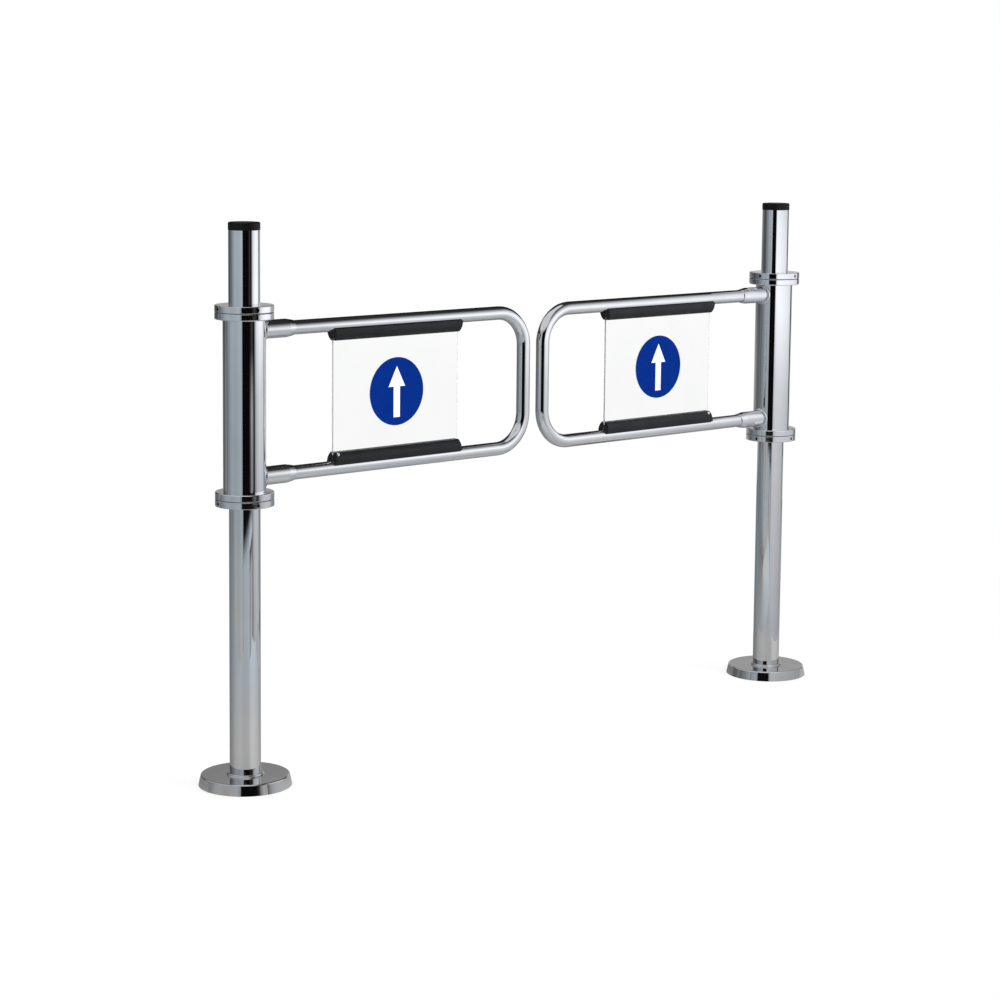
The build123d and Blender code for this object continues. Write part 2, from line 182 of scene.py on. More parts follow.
def makeScratches(look):
    # hairlines: noise stretched long in three crossing directions, kept only where it is close to its middle
    # value, which leaves thin lines, and thinned out by patches
    tree, given, end = newGroup("hairScratches", {"Vector": None, "Density": 1.0, "Cover": 0.5},
                                ["Mask", "Height"])
    lines = []
    for turn, density in look["runs"]:
        bent = put(tree, "ShaderNodeMapping", None,
                   {"Vector": given["Vector"], "Rotation": [turn * tilt for tilt in look["tilts"]],
                    "Scale": look["drawn"]})
        fine = noise(tree, bent.outputs[0], calc(tree, "MULTIPLY", given["Density"], density), 1.0, 0.4)
        fromMiddle = calc(tree, "ABSOLUTE", calc(tree, "SUBTRACT", fine, 0.5))
        lines.append(spread(tree, fromMiddle, 0.0, look["thin"], 1.0, 0.0))
    together = calc(tree, "MAXIMUM", calc(tree, "MAXIMUM", lines[0], lines[1]), lines[2])
    patches = spread(tree, noise(tree, given["Vector"], look["patchScale"], 3.0), *look["patches"])
    mask = calc(tree, "MULTIPLY", calc(tree, "MULTIPLY", together, patches), given["Cover"])
    return finishGroup(tree, end, {"Mask": mask, "Height": calc(tree, "MULTIPLY", mask, -1.0)})


dustSet = {"up": (0.1, 0.95, 0.03, 1.0), "specks": (0.6, 0.72), "driftScale": 34.0,
           "drifts": (0.35, 0.7, 0.25, 1.0)}


def makeDust(look):
    # dust: specks of fine noise, many on faces that look up and few on the others, gathered in drifts
    tree, given, end = newGroup("settledDust", {"Vector": None, "Cover": 0.3, "Grain": 1400.0}, ["Mask"])
    facing = put(tree, "ShaderNodeSeparateXYZ", None,
                 {0: put(tree, "ShaderNodeNewGeometry").outputs["Normal"]}).outputs[2]
    up = spread(tree, facing, *look["up"])
    specks = spread(tree, noise(tree, given["Vector"], given["Grain"], 2.0, 0.6), *look["specks"])
    drifts = spread(tree, noise(tree, given["Vector"], look["driftScale"], 4.0), *look["drifts"])
    mask = calc(tree, "MULTIPLY", calc(tree, "MULTIPLY", specks, up),
                calc(tree, "MULTIPLY", drifts, given["Cover"]))
    return finishGroup(tree, end, {"Mask": mask})


wornSet = {"radius": 0.0009, "samples": 4, "edge": (0.995, 0.9), "rubScale": 160.0, "rub": (0.36, 0.62)}


def makeWornEdge(look):
    # worn edges: where a rounded normal leaves the true one, broken up by noise
    tree, given, end = newGroup("wornEdge", {"Vector": None, "Wear": 0.5}, ["Mask"])
    rounded = put(tree, "ShaderNodeBevel", {"samples": look["samples"]},
                  {"Radius": look["radius"]}).outputs[0]
    true = put(tree, "ShaderNodeNewGeometry").outputs["Normal"]
    agree = put(tree, "ShaderNodeVectorMath", {"operation": "DOT_PRODUCT"}, {0: rounded, 1: true})
    edge = spread(tree, agree.outputs["Value"], *look["edge"])
    rub = spread(tree, noise(tree, given["Vector"], look["rubScale"], 4.0), *look["rub"])
    worn = calc(tree, "MULTIPLY", calc(tree, "MULTIPLY", edge, rub), given["Wear"])
    return finishGroup(tree, end, {"Mask": worn})


grainSet = {"smooth": 0.6, "finer": 2.2, "cellShare": 0.7, "fineShare": 0.3, "mask": (0.1, 0.6)}


def makeGrain(look):
    # moulded grain: small soft cells under finer noise, as a height
    tree, given, end = newGroup("mouldGrain", {"Vector": None, "Cells": 1500.0}, ["Height", "Mask"])
    cells = put(tree, "ShaderNodeTexVoronoi", {"feature": "SMOOTH_F1"},
                {"Vector": given["Vector"], "Scale": given["Cells"], "Smoothness": look["smooth"]})
    cells = cells.outputs["Distance"]
    fine = noise(tree, given["Vector"], calc(tree, "MULTIPLY", given["Cells"], look["finer"]), 2.0)
    height = calc(tree, "ADD", calc(tree, "MULTIPLY", cells, look["cellShare"]),
                  calc(tree, "MULTIPLY", fine, look["fineShare"]))
    return finishGroup(tree, end, {"Height": height, "Mask": spread(tree, cells, *look["mask"])})


turnedSet = {"perHeight": 0.7, "even": 0.25, "unevenScale": 1900.0}


def makeTurned(look):
    # turned marks: rings by the sine of the distance from the nearer post's axis and a share of the height,
    # made uneven by noise along the same measure
    tree, given, end = newGroup("turnedRings", {"Vector": None, "Pitch": 0.0004}, ["Height"])
    xyz = put(tree, "ShaderNodeSeparateXYZ", None, {0: given["Vector"]}).outputs
    fromPost = calc(tree, "SUBTRACT", calc(tree, "ABSOLUTE", xyz[0]), postX)
    radius = calc(tree, "SQRT", calc(tree, "ADD", calc(tree, "MULTIPLY", fromPost, fromPost),
                                     calc(tree, "MULTIPLY", xyz[1], xyz[1])))
    along = calc(tree, "ADD", radius, calc(tree, "MULTIPLY", xyz[2], look["perHeight"]))
    rings = calc(tree, "SINE", calc(tree, "DIVIDE", along, given["Pitch"]))
    uneven = put(tree, "ShaderNodeTexNoise", {"noise_dimensions": "1D"},
                 {"W": along, "Scale": look["unevenScale"], "Detail": 3.0}).outputs[0]
    height = calc(tree, "ADD", calc(tree, "MULTIPLY", rings, look["even"]), uneven)
    return finishGroup(tree, end, {"Height": height})


dropSet = {"radius": 0.24, "line": 0.035}  # as shares of the spacing


def makeDrops(look):
    # dried drops: faint rings, where the distance to scattered points passes one radius
    tree, given, end = newGroup("driedDrops", {"Vector": None, "Scale": 70.0, "Cover": 0.4}, ["Mask"])
    points = put(tree, "ShaderNodeTexVoronoi", {"feature": "F1"},
                 {"Vector": given["Vector"], "Scale": given["Scale"]}).outputs
    fromRing = calc(tree, "ABSOLUTE", calc(tree, "SUBTRACT", points["Distance"], look["radius"]))
    ring = spread(tree, fromRing, 0.0, look["line"], 1.0, 0.0)
    chosen = put(tree, "ShaderNodeSeparateXYZ", None, {0: points["Color"]}).outputs[0]
    few = spread(tree, chosen, calc(tree, "SUBTRACT", 1.0, given["Cover"]), 1.0)
    return finishGroup(tree, end, {"Mask": calc(tree, "MULTIPLY", ring, few)})


postLow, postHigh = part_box("right_post_tube")
postX = (postLow.x + postHigh.x) / 2
effects = {"smudges": makeSmudges(smudgeSet), "scratches": makeScratches(scratchSet),
           "dust": makeDust(dustSet), "edge": makeWornEdge(wornSet), "grain": makeGrain(grainSet),
           "turned": makeTurned(turnedSet), "drops": makeDrops(dropSet)}
print("shared effects:", len(effects))


def newMaterial(name, plain):
    # a Principled material and the object coordinates its patterns read; plain numbers go on its own sockets
    material = bpy.data.materials.new(name)
    material.use_nodes = True
    tree = material.node_tree
    shader = tree.nodes["Principled BSDF"]
    feed(tree, shader, plain)
    place = put(tree, "ShaderNodeTexCoord").outputs["Object"]
    return material, tree, shader, place


def bumps(tree, shader, layers):
    # bump nodes one after another: each layer is a height, its strength and its depth in metres
    normal = None
    for height, strength, depth in layers:
        ins = {"Height": height, "Strength": strength, "Distance": depth}
        if normal is not None:
            ins["Normal"] = normal
        normal = put(tree, "ShaderNodeBump", None, ins).outputs[0]
    feed(tree, shader, {"Normal": normal})


def smearsOn(tree, place, look):
    return useGroup(tree, effects["smudges"], Vector=place, Size=look["smearSize"],
                    Cover=look["smears"])["Mask"]


def hairlinesOn(tree, place, look):
    return useGroup(tree, effects["scratches"], Vector=place, Density=look["fine"], Cover=look["scratches"])


def dustOn(tree, place, look):
    return useGroup(tree, effects["dust"], Vector=place, Cover=look["dust"], Grain=look["dustGrain"])["Mask"]


def ringsOn(tree, place, look):
    return useGroup(tree, effects["turned"], Vector=place, Pitch=look["ringPitch"])["Height"]


def wornOn(tree, place, look):
    return useGroup(tree, effects["edge"], Vector=place, Wear=look["wear"])["Mask"]


def clouded(tree, place, look, second, detail, rough=0.55, between=(0.3, 0.7)):
    # the finish's own colour drifting slowly into its second one
    cloud = noise(tree, place, look["cloudScale"], detail, rough)
    return cloud, mixColour(tree, spread(tree, cloud, *between), look["colour"], look[second])


def chrome(name, look):
    # bright chrome plate over polished tube: a clear mirror with slow waves from polishing, smears,
    # hairlines, dried drops and dust, and turned rings where asked for
    material, tree, shader, place = newMaterial(name, {"Metallic": 1.0, "Specular IOR Level": 0.5})
    smears = smearsOn(tree, place, look)
    lines = hairlinesOn(tree, place, look)
    dust = dustOn(tree, place, look)
    drops = useGroup(tree, effects["drops"], Vector=place, Scale=look["dropScale"],
                     Cover=look["drops"])["Mask"]
    colour = clouded(tree, place, look, "coolColour", 3.0)[1]
    smeared = calc(tree, "MULTIPLY", smears, look["smearTint"])
    colour = mixColour(tree, smeared, colour, look["smearColour"])
    colour = mixColour(tree, dust, colour, look["dustColour"])
    rough = look["rough"]
    for mark, added in ((smears, "smearRough"), (lines["Mask"], "lineRough"), (drops, "dropRough"),
                        (dust, "dustRough")):
        rough = calc(tree, "ADD", rough, calc(tree, "MULTIPLY", mark, look[added]))
    layers = [(noise(tree, place, look["waves"], 1.0, 0.4), *look["waveBump"]),
              (lines["Height"], *look["lineBump"])]
    if look["ringBump"]:
        layers.append((ringsOn(tree, place, look), *look["ringBump"]))
    bumps(tree, shader, layers)
    feed(tree, shader, {"Base Color": colour, "Roughness": rough})
    return material


# in every finish, a bump is (strength, depth in metres)
plate = {"colour": (0.80, 0.805, 0.82, 1), "coolColour": (0.77, 0.785, 0.81, 1), "cloudScale": 17.0,
         "smearColour": (0.70, 0.70, 0.71, 1), "smearTint": 0.3, "smearSize": 0.07, "smears": 0.45,
         "scratches": 0.3, "fine": 1.0, "dust": 0.2, "dustGrain": 1500.0, "dustColour": grey(0.42),
         "drops": 0.25, "dropScale": 62.0, "rough": 0.016, "smearRough": 0.012, "lineRough": 0.02,
         "dropRough": 0.02, "dustRough": 0.45, "waves": 26.0, "waveBump": (0.02, 0.001),
         "lineBump": (0.05, 0.00001), "ringPitch": 0.00016, "ringBump": None}
finishes = {
    "tubeChrome": chrome("tubeChrome", plate),
    "gateChrome": chrome("gateChrome", {**plate, "smears": 0.6, "smearSize": 0.04, "rough": 0.022,
                                        "waves": 34.0}),
    "discChrome": chrome("discChrome", {**plate, "waves": 60.0, "ringBump": (0.1, 0.00004), "dust": 0.45,
                                        "rough": 0.045}),
    "coverChrome": chrome("coverChrome", {**plate, "colour": (0.75, 0.75, 0.755, 1),
                                          "coolColour": (0.66, 0.665, 0.675, 1), "waves": 18.0,
                                          "dust": 0.8, "drops": 0.45, "scratches": 0.9, "smears": 0.6,
                                          "rough": 0.05}),
    "screwChrome": chrome("screwChrome", {**plate, "smearSize": 0.01, "waves": 300.0, "rough": 0.08}),
}


def steel(name, look):
    # plain or blackened steel: cloudy colour, turned rings, hairlines, rubbed edges and dust
    material, tree, shader, place = newMaterial(name, {"Metallic": 1.0})
    cloud, colour = clouded(tree, place, look, "cloudColour", 5.0, 0.6)
    lines = hairlinesOn(tree, place, look)
    edge = wornOn(tree, place, look)
    dust = dustOn(tree, place, look)
    bare = calc(tree, "MAXIMUM", edge, calc(tree, "MULTIPLY", lines["Mask"], look["lineBare"]))
    colour = mixColour(tree, bare, colour, look["bareColour"])
    colour = mixColour(tree, dust, colour, look["dustColour"])
    rough = spread(tree, cloud, 0.25, 0.75, look["rough"], look["rough"] + look["roughDrift"])
    rough = calc(tree, "ADD", rough, calc(tree, "MULTIPLY", dust, look["dustRough"]))
    bumps(tree, shader, [(cloud, *look["cloudBump"]), (ringsOn(tree, place, look), *look["ringBump"]),
                         (lines["Height"], *look["lineBump"])])
    feed(tree, shader, {"Base Color": colour, "Roughness": rough})
    return material


barSteel = {"cloudScale": 60.0, "scratches": 0.8, "fine": 1.5, "lineBare": 0.4, "dust": 0.4,
            "dustGrain": 1200.0, "dustColour": grey(0.3), "roughDrift": 0.16, "dustRough": 0.3,
            "cloudBump": (0.2, 0.0002), "lineBump": (0.3, 0.00005), "ringPitch": 0.0002}
finishes["zincSteel"] = steel("zincSteel", {**barSteel, "colour": (0.46, 0.47, 0.48, 1),
                                            "cloudColour": (0.36, 0.37, 0.39, 1),
                                            "bareColour": (0.66, 0.66, 0.66, 1),
                                            "rough": 0.3, "wear": 0.6, "ringBump": (0.15, 0.0001)})
finishes["blackSteel"] = steel("blackSteel", {**barSteel, "colour": (0.05, 0.05, 0.055, 1),
                                              "cloudColour": (0.09, 0.085, 0.08, 1),
                                              "bareColour": (0.35, 0.34, 0.33, 1),
                                              "rough": 0.36, "wear": 0.8, "ringBump": (0.0, 0.0001)})


def blackPlastic(name, look):
    # moulded black plastic: fine grain, lighter rubbed edges and hairlines, dull smears, a little dust
    material, tree, shader, place = newMaterial(name, {"IOR": 1.5, "Specular IOR Level": look["shine"]})
    grain = useGroup(tree, effects["grain"], Vector=place, Cells=look["cells"])
    smears = smearsOn(tree, place, look)
    lines = hairlinesOn(tree, place, look)
    edge = wornOn(tree, place, look)
    dust = dustOn(tree, place, look)
    colour = clouded(tree, place, look, "paleColour", 5.0, 0.6)[1]
    rubbed = calc(tree, "MULTIPLY", lines["Mask"], look["lineRub"])
    colour = mixColour(tree, rubbed, colour, look["rubColour"])
    colour = mixColour(tree, edge, colour, look["rubColour"])
    colour = mixColour(tree, dust, colour, look["dustColour"])
    rough = spread(tree, grain["Mask"], 0.0, 1.0, look["rough"] - look["cellShine"],
                   look["rough"] + look["ridgeDull"])
    rough = calc(tree, "ADD", rough, calc(tree, "MULTIPLY", smears, look["smearRough"]))
    bumps(tree, shader, [(grain["Height"], *look["grainBump"]), (lines["Height"], *look["lineBump"])])
    feed(tree, shader, {"Base Color": colour, "Roughness": rough})
    return material


moulded = {"cloudScale": 42.0, "smearSize": 0.03, "smears": 0.6, "smearRough": 0.12, "scratches": 0.9,
           "fine": 1.2, "lineRub": 0.25, "lineBump": (0.25, 0.00004), "dustGrain": 1600.0,
           "dustColour": grey(0.3), "cellShine": 0.05, "ridgeDull": 0.06}
finishes["clampPlastic"] = blackPlastic("clampPlastic", {**moulded, "colour": (0.004, 0.0045, 0.006, 1),
                                                         "paleColour": (0.007, 0.0078, 0.0105, 1),
                                                         "rubColour": (0.05, 0.05, 0.058, 1), "rough": 0.33,
                                                         "shine": 0.3, "cells": 1700.0,
                                                         "grainBump": (0.25, 0.00012), "wear": 0.45,
                                                         "dust": 0.25})
finishes["capPlastic"] = blackPlastic("capPlastic", {**moulded, "colour": (0.002, 0.002, 0.0028, 1),
                                                     "paleColour": (0.004, 0.004, 0.0052, 1),
                                                     "rubColour": (0.03, 0.03, 0.03, 1), "rough": 0.3,
                                                     "shine": 0.16, "cells": 1300.0,
                                                     "grainBump": (0.45, 0.00012), "wear": 0.4,
                                                     "dust": 0.5})
finishes["bushPlastic"] = blackPlastic("bushPlastic", {**moulded, "colour": (0.02, 0.02, 0.022, 1),
                                                       "paleColour": (0.03, 0.03, 0.032, 1),
                                                       "rubColour": (0.09, 0.09, 0.09, 1), "rough": 0.5,
                                                       "shine": 0.4, "cells": 2200.0,
                                                       "grainBump": (0.2, 0.00012), "wear": 0.3,
                                                       "dust": 0.4})


def acrylic(name, look):
    # clear cast sheet: light passes and bends, faint wiping marks and hairlines in its roughness, and frost
    # on its cut edges, which are the faces that don't look along Y
    material, tree, shader, place = newMaterial(name, {"Metallic": 0.0, "Transmission Weight": 1.0,
                                                       "IOR": look["ior"]})
    smears = smearsOn(tree, place, look)
    lines = hairlinesOn(tree, place, look)
    colour = clouded(tree, place, look, "deepColour", 2.0)[1]
    rough = calc(tree, "ADD", calc(tree, "MULTIPLY", smears, look["smearRough"]),
                 calc(tree, "MULTIPLY", lines["Mask"], look["lineRough"]))
    facing = put(tree, "ShaderNodeSeparateXYZ", None,
                 {0: put(tree, "ShaderNodeTexCoord").outputs["Normal"]})
    sawn = spread(tree, calc(tree, "ABSOLUTE", facing.outputs[1]), *look["edgeFacing"])
    marks = noise(tree, place, look["sawMarks"], 3.0, 0.6, look["sawDrawn"])
    frost = spread(tree, marks, 0.3, 0.7, *look["edgeRough"])
    rough = calc(tree, "ADD", rough, calc(tree, "MULTIPLY", sawn, frost))
    bumps(tree, shader, [(lines["Height"], *look["lineBump"])])
    feed(tree, shader, {"Base Color": colour, "Roughness": rough})
    return material


finishes["clearAcrylic"] = acrylic("clearAcrylic", {"colour": (0.955, 0.955, 0.955, 1), "cloudScale": 9.0,
                                                    "deepColour": (0.94, 0.94, 0.942, 1), "ior": 1.49,
                                                    "smearSize": 0.09, "smears": 0.35, "smearRough": 0.02,
                                                    "scratches": 0.35, "fine": 0.8, "lineRough": 0.03,
                                                    "lineBump": (0.05, 0.00002), "edgeFacing": (0.6, 0.3),
                                                    "edgeRough": (0.73, 0.85), "sawMarks": 500.0,
                                                    "sawDrawn": (1.0, 8.0, 1.0)})


def vinyl(name, look):
    # printed vinyl label: even ink with faint cloud and pinholes, a satin face with tiny orange peel
    material, tree, shader, place = newMaterial(name, {"IOR": 1.45, "Specular IOR Level": look["shine"]})
    colour = clouded(tree, place, look, "cloudColour", 4.0, 0.6, (0.25, 0.75))[1]
    pinholes = spread(tree, noise(tree, place, look["holeScale"], 2.0), *look["holeEdge"])
    colour = mixColour(tree, calc(tree, "MULTIPLY", pinholes, look["holes"]), colour, look["holeColour"])
    smeared = calc(tree, "MULTIPLY", smearsOn(tree, place, look), look["smearRough"])
    rough = calc(tree, "ADD", look["rough"], smeared)
    bumps(tree, shader, [(noise(tree, place, look["peelScale"], 2.0), *look["peelBump"])])
    feed(tree, shader, {"Base Color": colour, "Roughness": rough})
    return material


label = {"cloudScale": 55.0, "holeScale": 2600.0, "holeEdge": (0.66, 0.74), "holes": 0.25, "smearSize": 0.03,
         "smears": 0.4, "smearRough": 0.1, "peelScale": 900.0, "peelBump": (0.08, 0.00008)}
finishes["signBlue"] = vinyl("signBlue", {**label, "colour": (0.0004, 0.022, 0.205, 1),
                                          "cloudColour": (0.0006, 0.026, 0.225, 1),
                                          "holeColour": (0.004, 0.045, 0.28, 1), "rough": 0.55,
                                          "shine": 0.03})
finishes["signWhite"] = vinyl("signWhite", {**label, "colour": (0.93, 0.93, 0.93, 1),
                                            "cloudColour": (0.90, 0.90, 0.905, 1),
                                            "holeColour": (0.8, 0.8, 0.8, 1), "rough": 0.5,
                                            "shine": 0.15})

finishOf = {
    "tubeChrome": ["post_tube", "gate_sleeve"],
    "gateChrome": ["gate_frame", "lower_socket", "upper_socket"],
    "discChrome": ["lower_collar", "upper_collar", "lower_flange", "upper_flange"],
    "coverChrome": ["base_cover"],
    "screwChrome": ["clamp_screws"],
    "zincSteel": ["anchor_plate", "stop_pin", "spring_anchor", "spring_driver", "count_magnet"],
    "blackSteel": ["grub_screws"],
    "clampPlastic": ["lower_clamp", "upper_clamp"],
    "capPlastic": ["post_cap", "count_switch"],
    "bushPlastic": ["lower_bush", "upper_bush"],
    "clearAcrylic": ["panel"],
    "signBlue": ["sign_disc"],
    "signWhite": ["sign_arrow"],
}
for finish, pieces in finishOf.items():
    for piece in pieces:
        for side in sides:
            for place in nodes[f"{side}_{piece}"].material_slots:
                place.material = finishes[finish]
for side in sides:
    nodes[f"{side}_panel"].visible_shadow = False  # clear sheet: light goes through it to the floor
print("materials:", len(finishes))


def meshFromGrid(name, points, closeU, closeV, ends=False):
    # points is a grid of (u, v, 3); neighbours are joined by quads, and the grid closes on itself where
    # asked; with ends, the first and last rows of a closed tube are each filled by one flat face
    countU, countV = points.shape[:2]
    index = np.arange(countU * countV).reshape(countU, countV)
    if closeU:
        index = np.vstack([index, index[:1]])
    if closeV:
        index = np.hstack([index, index[:, :1]])
    quads = np.stack([index[:-1, :-1], index[1:, :-1], index[1:, 1:], index[:-1, 1:]], -1).reshape(-1, 4)
    faces = quads.tolist()
    if ends:
        faces += [index[0, :countV].tolist(), index[-1, :countV][::-1].tolist()]
    mesh = bpy.data.meshes.new(name)
    mesh.from_pydata(points.reshape(-1, 3).tolist(), [], faces)
    mesh.shade_smooth()
    piece = bpy.data.objects.new(name, mesh)
    bpy.context.scene.collection.objects.link(piece)
    return piece


weldBead = {"size": 0.0042, "ripple": 0.03, "ripples": 46, "around": 230, "section": 16}


def makeWeld(side, level, bead):
    # the line where the socket's cylinder meets the sleeve's cylinder, carrying a small round section that
    # swells and shrinks a little, as laid drops of metal do
    low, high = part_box(f"{side}_{level}_socket")
    sleeveLow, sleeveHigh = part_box(f"{side}_gate_sleeve")
    sleeveRadius = (sleeveHigh.y - sleeveLow.y) / 2
    socketRadius = (high.y - low.y) / 2
    axisX = (sleeveLow.x + sleeveHigh.x) / 2
    railZ = (low.z + high.z) / 2
    around = np.linspace(0, 2 * np.pi, bead["around"], endpoint=False)[:, None]
    section = np.linspace(0, 2 * np.pi, bead["section"], endpoint=False)[None, :]
    y = socketRadius * np.cos(around)
    reach = np.sqrt(sleeveRadius ** 2 - y ** 2)
    fromSocket = np.stack([np.zeros_like(around), np.cos(around), np.sin(around)], -1)
    fromSleeve = np.stack([sides[side] * reach / sleeveRadius, y / sleeveRadius, np.zeros_like(around)], -1)
    size = bead["size"] * (1 + bead["ripple"] * np.sin(bead["ripples"] * around))
    centre = np.stack([axisX + sides[side] * reach, y, railZ + socketRadius * np.sin(around)], -1)
    points = centre + size[..., None] * (np.cos(section)[..., None] * fromSocket
                                         + np.sin(section)[..., None] * fromSleeve)
    if sides[side] < 0:
        points = points[::-1]  # the faces look outwards on the mirrored side too
    piece = meshFromGrid(f"{side}_{level}_weld", points, True, True)
    piece.data.materials.append(finishes["gateChrome"])
    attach(piece, f"{side}_gate")


for side in sides:
    for level in ("lower", "upper"):
        makeWeld(side, level, weldBead)
print("weld beads: 4")


returnSpring = {"wire": 0.0025, "pitch": 0.006, "turns": 9, "bend": 0.004,  # wire and bend are radii
                "perTurn": 48, "section": 14, "bendSteps": 9, "tangSteps": 6}


def makeSpring(side, spring):
    # a wire along a path: up a straight tang, round a quarter bend, up a helix of even pitch, and the same
    # in reverse. The path is laid out flat as (length round the coil, height), then wrapped about the post's
    # axis, and a circle square to it is carried along
    wire, bend = spring["wire"], spring["bend"]
    low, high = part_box(f"{side}_return_spring")
    tubeLow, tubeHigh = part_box(f"{side}_post_tube")
    axisX = (tubeLow.x + tubeHigh.x) / 2
    coilRadius = (high.y - low.y) / 2 - wire
    coilHeight = spring["turns"] * spring["pitch"]
    tang = (high.z - low.z - coilHeight) / 2
    length = 2 * np.pi * coilRadius * spring["turns"]
    turn = np.linspace(0, np.pi / 2, spring["bendSteps"])
    straight = np.linspace(0, tang - bend, spring["tangSteps"])[:-1]
    foot = np.concatenate([np.stack([0 * straight, straight], -1),
                           np.stack([bend * (1 - np.cos(turn)), tang - bend + bend * np.sin(turn)], -1)])
    share = np.linspace(0, 1, spring["turns"] * spring["perTurn"])[1:-1]
    coil = np.stack([bend + share * (length - 2 * bend), tang + share * coilHeight], -1)
    head = np.array([length, 2 * tang + coilHeight]) - foot[::-1]
    around, height = np.concatenate([foot, coil, head]).T
    angle = around / coilRadius
    outward = np.stack([sides[side] * np.cos(angle), np.sin(angle), np.zeros_like(angle)], -1)
    centre = outward * coilRadius + np.stack([np.full_like(height, axisX), 0 * height, low.z + height], -1)
    along = np.gradient(centre, axis=0)
    along /= np.linalg.norm(along, axis=1, keepdims=True)
    across = np.cross(along, outward)
    section = np.linspace(0, -2 * np.pi, spring["section"], endpoint=False)[None, :, None]
    circle = np.cos(section) * outward[:, None] + np.sin(section) * across[:, None]
    points = centre[:, None] + wire * circle
    piece = meshFromGrid(f"{side}_wound_spring", points, False, True, ends=True)
    piece.data.materials.append(finishes["blackSteel"])
    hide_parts(f"{side}_return_spring")
    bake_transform(piece)


for side in sides:
    makeSpring(side, returnSpring)
print("return springs: 2")


# heights are the sine of the angle above level: 0 at the horizon, 1 straight up
roomSet = {"plain": 0.78, "dark": 0.003, "upper": 0.03, "upperRise": (0.3, 0.85),
           "leftWall": 0.7, "leftEdge": (0.15, -0.2), "leftRise": (0.32, 0.5),
           "overhead": 0.75, "overheadRise": (0.90, 0.95)}


def makeWorld(room):
    # white for the camera and through glass, an even pale light for dull surfaces, and for mirrors a dark
    # room with a pale upper left side and one soft box overhead
    world = bpy.data.worlds.new("room")
    bpy.context.scene.world = world
    world.use_nodes = True
    tree = world.node_tree
    tree.nodes.clear()
    path = put(tree, "ShaderNodeLightPath").outputs
    way = put(tree, "ShaderNodeTexCoord").outputs["Generated"]
    xyz = put(tree, "ShaderNodeSeparateXYZ", None, {0: way}).outputs
    height = xyz[2]
    leftward = calc(tree, "MULTIPLY", spread(tree, xyz[0], *room["leftEdge"]),
                    spread(tree, height, *room["leftRise"]))
    mirror = mixColour(tree, spread(tree, height, *room["upperRise"]), grey(room["dark"]),
                       grey(room["upper"]))
    mirror = mixColour(tree, leftward, mirror, grey(room["leftWall"]))
    mirror = mixColour(tree, spread(tree, height, *room["overheadRise"]), mirror, grey(room["overhead"]))
    seen = calc(tree, "MAXIMUM", path["Is Camera Ray"], path["Is Transmission Ray"])
    colour = mixColour(tree, path["Is Glossy Ray"], grey(room["plain"]), mirror)
    throughGlass = calc(tree, "GREATER_THAN", path["Transmission Depth"], 0.5)
    colour = mixColour(tree, calc(tree, "MAXIMUM", seen, throughGlass), colour, grey(1.0))
    back = put(tree, "ShaderNodeBackground", None, {"Color": colour, "Strength": 1.0}).outputs[0]
    put(tree, "ShaderNodeOutputWorld", None, {"Surface": back})


